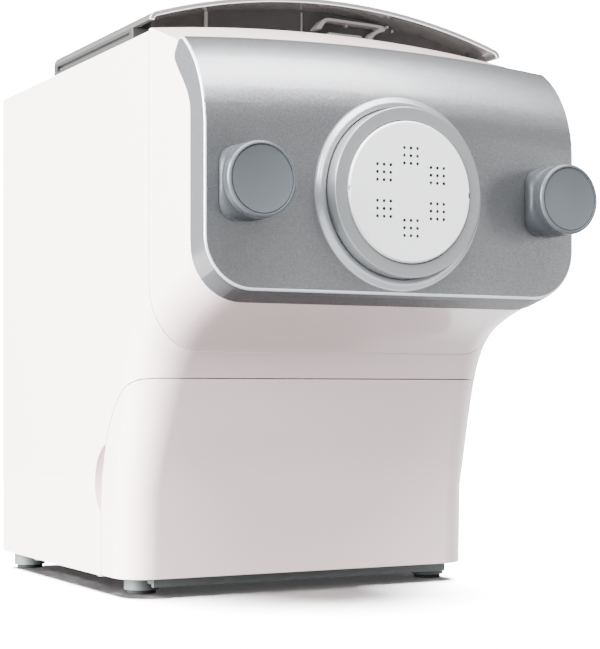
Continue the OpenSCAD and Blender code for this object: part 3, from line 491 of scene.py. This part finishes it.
RING = flake_paint("ring_silver_paint", linear(138, 141, 144), rough=0.4, metal=0.45,
                   tilt=0.1, contrast=0.08, coat=0.4)
DISC = plastic("disc_off_white", linear(236, 238, 238), rough=0.38, tone=0.015, bump=0.02,
               subsurface=0.1)
KNOB = plastic("knob_blue_grey", linear(82, 86, 90), rough=0.24, tone=0.02, bump=0.008,
               specular=0.3)
# Painted shade: a darker copy of the knob's blue-grey, for its sides behind the rim
KNOB_PAINTED_SIDE_SHADE = plastic("knob_blue_grey_painted_side_shade", linear(48, 51, 54), rough=0.36, tone=0.02, bump=0.008,
                    specular=0.2)
SMOKE = smoky_clear("smoky_clear_lid", linear(84, 85, 84), alpha=0.78)
SHEET_FRONT = plastic("lid_front_grey", linear(112, 114, 113), rough=0.25, tone=0.02)
# Painted highlight: a near-white for the rounded front edge of the clear lid sheet
LID_PAINTED_EDGE_HIGHLIGHT = plastic("lid_painted_edge_highlight", linear(236, 238, 238), rough=0.25, tone=0.01)
CATCH = plastic("light_smoke_bracket", linear(150, 151, 149), rough=0.25, tone=0.03)
CLEAR = smoky_clear("clear_tinted_trough", linear(214, 220, 224), alpha=0.3)
# The skirt's own dark smoke; also used as painted shade in the lid rails' grooves
SKIRT_SMOKE_AND_GROOVE_SHADE = plastic("dark_smoke_skirt_and_groove_shade", linear(66, 66, 65), rough=0.3, tone=0.04)
RAIL = plastic("lid_rail_grey", linear(58, 59, 58), rough=0.3, tone=0.03)
# Painted shade for the walls of the disc's small holes
PAINTED_HOLE_SHADE = plastic("die_hole_shade", linear(96, 98, 100), rough=0.6, tone=0.02)
# Lit and shaded copies of one grey for the base tray: a darker one on the foot blocks as painted
# shade, a lighter one on the broad faces as painted light
FOOT_GREY_PAINTED_SHADE = plastic("grey_foot_painted_shade", linear(92, 97, 98), rough=0.48, tone=0.05, bump=0.05)
BASE_GREY_PAINTED_LIGHT = plastic("green_grey_base_painted_light", linear(128, 133, 134), rough=0.48, tone=0.05, bump=0.05)
RUBBER = plastic("black_rubber", linear(34, 35, 36), rough=0.7, tone=0.08, bump=0.12,
                 grain=1600, specular=0.3)
STEEL = plastic("turned_steel", linear(190, 192, 194), rough=0.28, metal=1.0, tone=0.04,
                bump=0.01)
CAST = plastic("cast_alloy", linear(140, 144, 148), rough=0.46, metal=0.6, tone=0.08,
               bump=0.1, grain=700)
BRONZE = plastic("bearing_bronze", linear(182, 142, 84), rough=0.36, metal=1.0, tone=0.06)
COPPER = plastic("enamelled_copper", linear(186, 106, 62), rough=0.38, metal=0.9, tone=0.12,
                 grain=2200, bump=0.2)
LAMINATE = plastic("stacked_steel", linear(104, 106, 110), rough=0.5, metal=0.8, tone=0.1,
                   bump=0.08)
NYLON = plastic("ivory_nylon", linear(226, 218, 196), rough=0.42, tone=0.03, subsurface=0.15)
WHITE_TOOL = plastic("tool_white", linear(238, 238, 236), rough=0.34, tone=0.02)
BOARD = plastic("circuit_board_green", linear(28, 78, 48), rough=0.4, tone=0.12, coat=0.3)
GLASS = plastic("display_black", linear(16, 18, 22), rough=0.08, spread=0.02, coat=0.6)
BUTTON = plastic("button_soft_grey", linear(222, 224, 226), rough=0.36, tone=0.02)
SEAL = plastic("seal_rubber", linear(52, 54, 56), rough=0.6, tone=0.05)
CASE = plastic("motor_case_zinc", linear(150, 152, 154), rough=0.4, metal=0.9, tone=0.06)
FAN = plastic("fan_black", linear(28, 28, 30), rough=0.45, tone=0.05)


def finish_with(piece, material):
    """Gives the piece one finish all over."""
    piece.data.materials.clear()
    piece.data.materials.append(material)
    return piece


def finish_node(node, material):
    """Gives a solid that stays as it is its finish."""
    solid = cad_nodes[node]
    if not solid.material_slots:
        solid.data.materials.append(material)
    for slot in solid.material_slots:
        slot.material = material


# ---- Pieces -----------------------------------------------------------------

def make_body():
    """The three white mouldings of the outside, with soft edges where they meet."""
    for node, name in (("main_housing", "housing_shell"), ("front_frame", "flared_frame_shell"),
                       ("drawer_front", "drawer_front_shell")):
        finish_with(moulded(node, name, rounding=0.45, segments=2), WHITE)


def front_rim(mesh):
    """Edges between the panel's face and its rim: sharp, on the front, away from the holes."""
    knob_clear = 12 * MM
    outlet_clear = 50 * MM
    sharp = math.radians(36)
    facing = {}
    for face in mesh.polygons:
        for key in face.edge_keys:
            facing.setdefault(key, []).append(face.normal)
    chosen = []
    for edge in mesh.edges:
        start, end = (mesh.vertices[v].co for v in edge.vertices)
        middle = (start + end) / 2
        off_holes = (math.hypot(abs(middle.x) - KNOB_X * MM, middle.z - AXIS_Z) > knob_clear
                     and math.hypot(middle.x, middle.z - AXIS_Z) > outlet_clear)
        near = facing.get(edge.key, [])
        if off_holes and len(near) == 2 and max(normal.y for normal in near) < 0.1:
            if near[0].angle(near[1]) > sharp:
                chosen.append(edge)
    return chosen


def make_panel():
    """The panel with its rounded front edge in a lighter silver, as a painted highlight line;
    the rim takes painted shade in two darker steps towards the underside."""
    panel = finish_with(merged_copy("front_panel", "silver_panel_shell"), SILVER)
    panel.data.materials.append(PAINTED_EDGE_HIGHLIGHT)
    painted_highlight_slot = 1
    # Painted shade: the rim's downward faces take the darker silver, darkest where they look
    # straight down
    second_finish(panel, PAINTED_UNDER_SHADE, lambda face: face.normal.z < -0.9 and face.normal.y < 0)
    second_finish(panel, PAINTED_TURN_SHADE,
                  lambda face: -0.9 <= face.normal.z < -0.62 and face.normal.y < 0)
    # Painted highlight: the new bevel faces of the front rim take the lighter silver
    round_edges(panel, front_rim(panel.data), width=0.95, segments=4, finish_slot=painted_highlight_slot)
    put_in_place(smoothed(panel), "front_panel")


def arc(centre, radius, start, end, steps):
    """Points of an arc in radius and depth; angles in degrees from the outward radius."""
    return [(centre[0] + radius * math.cos(math.radians(a)),
             centre[1] - radius * math.sin(math.radians(a)))
            for a in (start + (end - start) * i / steps for i in range(steps + 1))]


def make_bead():
    """The half-round bead on the panel round the ring, with a hollow run-out at its foot."""
    bead_r = 2.3
    bead_mid = RING_R + bead_r
    hollow_r = 1.6
    outer_r = bead_mid + bead_r + hollow_r
    sunk = 0.3
    proud = 0.02
    bezel = turned("panel_bead_turned", [
        (outer_r, PANEL_FACE + sunk),
        (outer_r, PANEL_FACE - proud),
        *arc((outer_r, PANEL_FACE - proud - hollow_r), hollow_r, -90, -155, 4)[1:],
        *arc((bead_mid, PANEL_FACE), bead_r, 32, 180, 14),
        (RING_R + proud, PANEL_FACE + sunk)])
    put_in_place(finish_with(smoothed(bezel, angle=50), BEAD), "ring_bezel")


def make_ring():
    """The ring round the disc: a wall from the panel and a lip that laps the disc's rim."""
    edge_r = 0.9
    lip_edge_r = 0.25
    lip = DISC_R + 0.6
    lip_back = RING_FACE + 3.8
    bore = DISC_R + 5.2
    back = PANEL_FACE + 2.5
    ring = turned("outlet_ring_turned", [
        *arc((lip + lip_edge_r, RING_FACE + lip_edge_r), lip_edge_r, 180, 90, 3),
        *arc((RING_R - edge_r, RING_FACE + edge_r), edge_r, 90, 0, 6),
        (RING_R, back), (bore, back), (bore, lip_back), (lip, lip_back)])
    put_in_place(finish_with(smoothed(ring, angle=50), RING), "outlet_ring")


def make_disc():
    """The shaping disc, with painted shade on the walls of its small holes."""
    holes_within = (DISC_R - 4) * MM
    disc = moulded("shaping_disc", "shaping_disc_moulded", rounding=0.1, segments=1)
    finish_with(disc, DISC)
    # Painted shade: the walls of the holes take the darker grey
    second_finish(disc, PAINTED_HOLE_SHADE, lambda face: abs(face.normal.y) < 0.5 and (
        math.hypot(face.center.x, face.center.z - AXIS_Z) < holes_within))


def rounded_block(middle, half_width, half_height, corner, y):
    """Outline of an upright block with round corners, as (x, y, z) in metres."""
    outline = []
    for x_side, z_side, start in ((1, 1, 0), (-1, 1, 90), (-1, -1, 180), (1, -1, 270)):
        for degrees in range(start, start + 91, 10):
            turn = math.radians(degrees)
            x = middle + x_side * (half_width - corner) + corner * math.cos(turn)
            z = z_side * (half_height - corner) + corner * math.sin(turn)
            outline.append((x * MM, y * MM, AXIS_Z + z * MM))
    return outline


def cap_profile(crease):
    """Knob cap from its crease out: a fine groove, a round rim, a cut line and the dish."""
    groove = 0.25
    rim = 1.6
    cut_depth = 0.7
    step = 0.35
    dish = 1.1
    face_r = KNOB_R - rim - step
    return [
        (KNOB_R, crease), (KNOB_R - groove, crease - 0.18),
        (KNOB_R - groove, crease - 0.4), (KNOB_R, crease - 0.6),
        *arc((KNOB_R - rim, KNOB_FACE + rim), rim, 0, 90, 7),
        (face_r + 0.25, KNOB_FACE + 0.05), (face_r + 0.1, KNOB_FACE + cut_depth),
        (face_r - 0.3, KNOB_FACE + cut_depth), (face_r - 0.45, KNOB_FACE + step),
        *((face_r * (1 - t), KNOB_FACE + step + dish * (1 - (1 - t) ** 2))
          for t in (0.12, 0.26, 0.42, 0.6, 0.8, 0.97))]


def grow_loop(x, before, after):
    """Extrudes the chosen round loop about the knob's axis from one (radius, y) to the next."""
    bpy.ops.mesh.extrude_region_move(
        TRANSFORM_OT_translate={"value": (0, (after[1] - before[1]) * MM, 0)})
    ratio = after[0] / before[0]
    bpy.ops.transform.resize(value=(ratio, 1, ratio), center_override=(x * MM, 0, AXIS_Z))


def make_knob(name, x):
    """A rounded block that runs into a round cap with a soft rim and a slightly dished face."""
    foot_depth = 3
    crease = KNOB_FACE + 6.1
    hull_to = crease - 0.1
    knob = draw_outline(rounded_block(
        middle=x, half_width=12, half_height=18, corner=8.5, y=KNOB_BACK))
    bpy.ops.mesh.extrude_region_move(
        TRANSFORM_OT_translate={"value": (0, -foot_depth * MM, 0)})
    bpy.ops.mesh.primitive_circle_add(
        vertices=ROUND_STEPS, radius=KNOB_R * MM, rotation=(math.radians(90), 0, 0),
        location=(x * MM, hull_to * MM, AXIS_Z))
    bpy.ops.mesh.select_all(action="SELECT")
    bpy.ops.mesh.convex_hull()
    bpy.ops.mesh.select_all(action="SELECT")
    bpy.ops.mesh.bisect(plane_co=(0, crease * MM, 0), plane_no=(0, -1, 0), clear_outer=True)
    cap = cap_profile(crease)
    for before, after in zip(cap, cap[1:]):
        grow_loop(x, before, after)
    bpy.ops.mesh.edge_face_add()
    bpy.ops.mesh.select_all(action="SELECT")
    bpy.ops.mesh.normals_make_consistent(inside=False)
    bpy.ops.object.mode_set(mode="OBJECT")
    settle(knob, name)
    finish_with(smoothed(knob, angle=38), KNOB)
    behind_rim = (crease - 5) * MM
    # Painted shade: the knob's sides behind the rim take the darker copy of its blue-grey
    second_finish(knob, KNOB_PAINTED_SIDE_SHADE,
                  lambda face: abs(face.normal.y) < 0.9 and face.center.y > behind_rim)
    return knob


def make_knobs():
    """The left knob and its copy on the right."""
    left = make_knob("knob_left_moulded", -KNOB_X)
    right = left.copy()
    right.data = left.data.copy()
    bpy.context.scene.collection.objects.link(right)
    right.location.x = 2 * KNOB_X * MM
    settle(right, "knob_right_moulded")
    put_in_place(left, "knob_left")
    put_in_place(right, "knob_right")


def make_catch():
    """Bridge with curved legs over a flat tongue, on the front of the lid's skirt."""
    hood = bar("catch_hood", [
        (-4, 305.2), (-2.6, 307.4), (0.2, 310.4), (2.2, 311.6), (4, 312), (37, 311.2),
        (39.2, 310.6), (40, 309.4), (39.6, 308.3), (36.5, 307.3), (33.6, 305.6),
        (31.8, 303.4), (31, 301), (28.9, 301), (29.9, 304), (32, 306.6), (34.4, 308.2),
        (36.4, 309.2), (35, 309.8), (5, 310.5), (3, 310), (1.2, 308.2), (-0.6, 305.2)],
        SKIRT_FACE - 7, SKIRT_FACE)
    tongue = bar("catch_tongue", [(4, 300.6), (26, 300.6), (26, 303.6), (25, 304.4),
                                  (5, 304.4), (4, 303.6)], SKIRT_FACE - 6, SKIRT_FACE)
    catch = joined("lid_catch_bracket", hood, tongue)
    put_in_place(finish_with(catch, CATCH), "lid_catch")


def looks_forward(face):
    """True for a face that looks to the front."""
    return face.normal.y < -0.95


def front_outline(mesh):
    """Edges of the front face, apart from those within it."""
    front = {}
    for face in mesh.polygons:
        if looks_forward(face):
            for key in face.edge_keys:
                front[key] = front.get(key, 0) + 1
    return [edge for edge in mesh.edges if front.get(edge.key) == 1]


def make_sheet():
    """The arched smoky sheet, its front edge rounded and given a painted highlight."""
    sheet = finish_with(merged_copy("lid_shell", "lid_sheet"), SMOKE)
    second_finish(sheet, SHEET_FRONT, looks_forward)
    # Painted highlight: the rounded front edge takes the near-white
    sheet.data.materials.append(LID_PAINTED_EDGE_HIGHLIGHT)
    painted_highlight_slot = 2
    round_edges(sheet, front_outline(sheet.data), width=0.45, segments=2, finish_slot=painted_highlight_slot)
    put_in_place(smoothed(sheet), "lid_shell")


def make_skirt():
    """The dark skirt under the sheet, with two thin ribs on its front face."""
    skirt = finish_with(smoothed(merged_copy("lid_skirt", "lid_skirt_wall", flat=0)), SKIRT_SMOKE_AND_GROOVE_SHADE)
    put_in_place(skirt, "lid_skirt")
    foot = 291.6
    for left, width, top in ((-67.4, 1.9, 309.3), (-9.6, 0.7, 314.6)):
        right = left + width
        rib = bar("skirt_rib", [(left, foot), (right, foot), (right, top), (left, top)],
                  SKIRT_FACE - 1, SKIRT_FACE, rounding=0.2)
        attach(finish_with(rib, CATCH), "lid")


def make_rails():
    """The side rails under the sheet, with painted shade in their outer grooves."""
    groove_from, groove_to = 104, 106.9
    rails = moulded("lid_rails", "lid_side_rails", rounding=0.2, segments=2)
    finish_with(rails, RAIL)
    # Painted shade: the faces of the rails' outer grooves take the skirt's dark smoke
    second_finish(rails, SKIRT_SMOKE_AND_GROOVE_SHADE,
                  lambda face: groove_from < abs(face.center.x) / MM < groove_to)


def make_controls():
    """The fascia on the right side and its four buttons."""
    fascia = moulded("control_fascia", "fascia_plate", rounding=0.3, segments=2)
    finish_with(fascia, SILVER)
    for name in ("power", "program", "quantity", "start"):
        cap = moulded(f"{name}_button", f"{name}_button_cap", rounding=0.6, segments=3)
        finish_with(cap, BUTTON)


def make_base():
    """The base tray in two copies of one grey, lighter on its broad faces as painted light
    and darker on its foot blocks as painted shade, with the rubber.
    """
    broad = 60 * MM * MM
    tray = moulded("base_plate", "base_tray", rounding=0.5, segments=2)
    # Painted shade on the foot blocks, painted light on the broad faces
    finish_with(tray, FOOT_GREY_PAINTED_SHADE)
    second_finish(tray, BASE_GREY_PAINTED_LIGHT, lambda face: face.area > broad)
    pads = moulded("rubber_feet", "foot_pads", rounding=0.6, segments=3)
    finish_with(pads, RUBBER)
    gland = moulded("cord_gland", "cable_gland", rounding=0.4, segments=2)
    finish_with(gland, RUBBER)


# Solids that are shown as they are, with their finishes
PLAIN_FINISHES = {
    "drawer_bay": TRAY, "drawer_rails": STEEL, "drawer_tray": TRAY,
    "mixing_chamber": CLEAR, "extrusion_tube": RING, "shaft_seal": SEAL,
    "mixing_paddle": WHITE_TOOL, "auger_screw": WHITE_TOOL, "drive_shaft": STEEL,
    "output_gear": NYLON, "reduction_gear": NYLON, "reduction_shaft": STEEL,
    "gearbox_case": CAST, "gearbox_cover": CAST, "gearbox_bushes": BRONZE,
    "motor_case": CASE, "motor_end_cap": CASE, "motor_bearings": STEEL,
    "stator_core": LAMINATE, "stator_windings": COPPER, "rotor_core": LAMINATE,
    "motor_shaft": STEEL, "motor_pinion": STEEL, "cooling_fan": FAN,
    "locking_studs": STEEL, "knob_bush_left": STEEL, "knob_bush_right": STEEL,
    "lid_pins": STEEL, "display_window": GLASS, "control_board": BOARD,
    "power_board": BOARD, "base_screws": STEEL, "gearbox_screws": STEEL,
}


# ---- Floor, room and lamps ----------------------------------------------------

def make_floor():
    """Pale floor on which the object stands; only the camera sees it at its full brightness."""
    deselect_all()
    bpy.ops.mesh.primitive_plane_add(size=FLOOR_SIZE, location=(0, 0, 0))
    floor = settle(bpy.context.object, "studio_floor")
    material, tree, shader = plain_material("pale_floor")
    seen = add(tree, "LightPath")
    direct = maths(tree, "MULTIPLY", seen.outputs["Is Camera Ray"], FLOOR_WHITE)
    mirrored = maths(tree, "MULTIPLY", seen.outputs["Is Glossy Ray"], FLOOR_MIRRORED)
    albedo = maths(tree, "ADD", maths(tree, "ADD", direct, mirrored), FLOOR_BOUNCE)
    tree.links.new(albedo, shader.inputs["Base Color"])
    shader.inputs["Roughness"].default_value = 0.9
    shader.inputs["Specular IOR Level"].default_value = 0.0
    shader.inputs["Emission Color"].default_value = (1, 1, 1, 1)
    shader.inputs["Emission Strength"].default_value = FLOOR_GLOW
    finish_with(floor, material)
    return floor


def room_light():
    """White room: bright behind the object, dim where it lights it."""
    world = bpy.data.worlds.new("studio_room")
    bpy.context.scene.world = world
    world.use_nodes = True
    tree = world.node_tree
    backdrop = tree.nodes["Background"]
    backdrop.inputs["Color"].default_value = (1, 1, 1, 1)
    backdrop.inputs["Strength"].default_value = BACKDROP_STRENGTH
    room = add(tree, "Background")
    room.inputs["Strength"].default_value = ROOM_STRENGTH
    seen = add(tree, "LightPath")
    mix = add(tree, "MixShader")
    behind_clear = maths(tree, "MINIMUM", seen.outputs["Transparent Depth"], 1.0)
    direct = maths(tree, "SUBTRACT", seen.outputs["Is Camera Ray"], behind_clear)
    tree.links.new(maths(tree, "MAXIMUM", direct, 0.0), mix.inputs[0])
    tree.links.new(room.outputs[0], mix.inputs[1])
    tree.links.new(backdrop.outputs[0], mix.inputs[2])
    tree.links.new(mix.outputs[0], tree.nodes["World Output"].inputs["Surface"])


def keep_to(light, collection_name, piece, state):
    """The light falls only on the piece (INCLUDE), or on everything but the piece."""
    group = bpy.data.collections.new(collection_name)
    group.objects.link(piece)
    group.collection_objects[0].light_linking.link_state = state
    light.light_linking.receiver_collection = group


def light_scene(floor):
    """Four lamps light the object but not the floor, and a fifth lights only the floor."""
    room_light()
    for light in (
            soft_light("left_softbox", (-2.2, 0.15, 0.9), (0, 0.05, 0.12), 2.0, 1.6, 600),
            soft_light("overhead_softbox", (0.1, -0.9, 2.2), (0, -0.05, 0.2), 2.4, 1.4, 240),
            soft_light("left_strip", (-1.7, -1.0, 0.55), (0, -0.1, 0.2), 0.5, 1.4, 45),
            soft_light("right_fill", (2.1, -1.9, 0.4), (0, 0, 0.15), 1.2, 1.0, 10)):
        keep_to(light, f"lit_by_{light.name}", floor, "EXCLUDE")
    over_floor = soft_light("floor_light", (0.1, 0.4, 2.3), (0, -0.05, 0), 2.75, 2.75, 3800)
    keep_to(over_floor, "lit_floor", floor, "INCLUDE")


place_camera()
make_body()
make_panel()
make_bead()
make_ring()
make_disc()
make_knobs()
make_sheet()
make_skirt()
make_rails()
make_catch()
make_controls()
make_base()
for node_name, node_finish in PLAIN_FINISHES.items():
    finish_node(node_name, node_finish)
light_scene(make_floor())
deselect_all()
